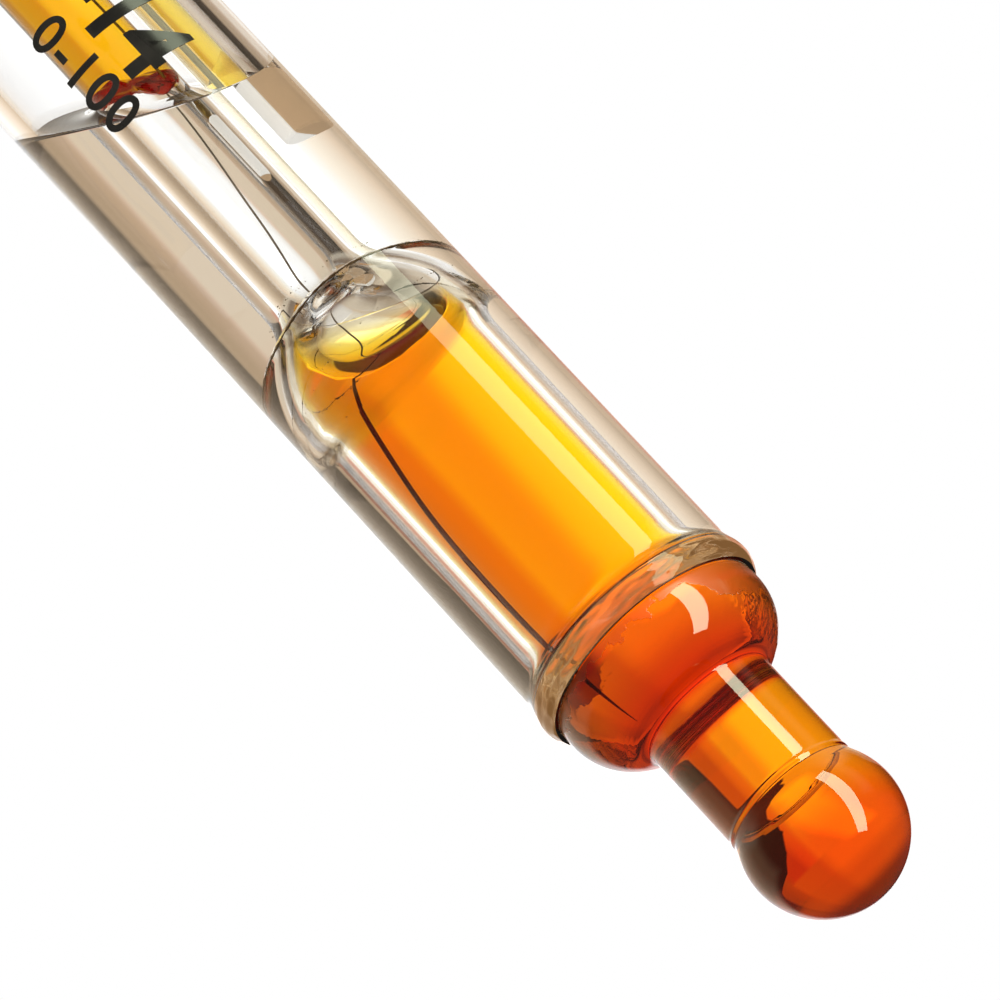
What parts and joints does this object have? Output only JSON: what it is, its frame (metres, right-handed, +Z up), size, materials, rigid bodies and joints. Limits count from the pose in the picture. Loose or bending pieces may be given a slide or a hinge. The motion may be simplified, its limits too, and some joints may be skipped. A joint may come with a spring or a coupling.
{
  "type": "combination pH electrode",
  "caption": "Refillable glass combination pH electrode with a sensing bulb, orange inner solution, a press-to-flush sleeve junction, a sliding filling sleeve and a spring-loaded cap.",
  "frame": {"origin": "on the axis of the outer tube, at the underside of the collar, where a holder takes it", "axes": "+Z up along the electrode, from the sensing bulb to the cap; the filling hole faces +X"},
  "size_m": [0.016, 0.016, 0.1739],
  "materials": {
    "clear_glass": "polished",
    "sensing_glass": "polished",
    "orange_solution": "gloss",
    "clear_solution": "gloss",
    "platinum": "satin",
    "porous_ceramic": "matte",
    "cement": "matte",
    "collar_plastic": "satin",
    "cap_plastic": "satin",
    "head_plastic": "satin",
    "sleeve_rubber": "matte",
    "seal_rubber": "matte",
    "gland_rubber": "matte",
    "spring_steel": "satin",
    "resin": "gloss",
    "signal_insulation": "satin",
    "reference_insulation": "satin"
  },
  "bodies": {
    "outer_body": {"outer_tube": "clear_glass", "tube_cement": "cement", "collar": "collar_plastic", "lower_washer": "spring_steel", "return_spring": "spring_steel"},
    "inner_body": {"stem_tube": "clear_glass", "inner_chamber": "clear_glass", "sensing_bulb": "sensing_glass", "inner_solution": "orange_solution", "stem_solution": "orange_solution", "filling_solution": "clear_solution", "platinum_wire": "platinum", "stem_plug": "seal_rubber", "reference_tube": "clear_glass", "reference_frit": "porous_ceramic", "reference_solution": "orange_solution", "reference_wire": "platinum", "stem_head": "head_plastic", "o_ring": "seal_rubber", "upper_washer": "spring_steel", "cap": "cap_plastic", "cap_potting": "resin", "signal_lead": "signal_insulation", "reference_lead": "reference_insulation", "cable_gland": "gland_rubber"},
    "filling_cover": {"fill_sleeve": "sleeve_rubber"}
  },
  "joints": [
    {"name": "cap_press", "type": "slide", "parent": "outer_body", "child": "inner_body", "axis": [0, 0, -1], "range_m": [0, 0.0045], "stiffness_N_per_m": 700, "springref_m": -0.004, "deforming": ["return_spring"]},
    {"name": "sleeve_slide", "type": "slide", "parent": "outer_body", "child": "filling_cover", "axis": [0, 0, 1], "range_m": [0, 0.0052]}
  ]
}
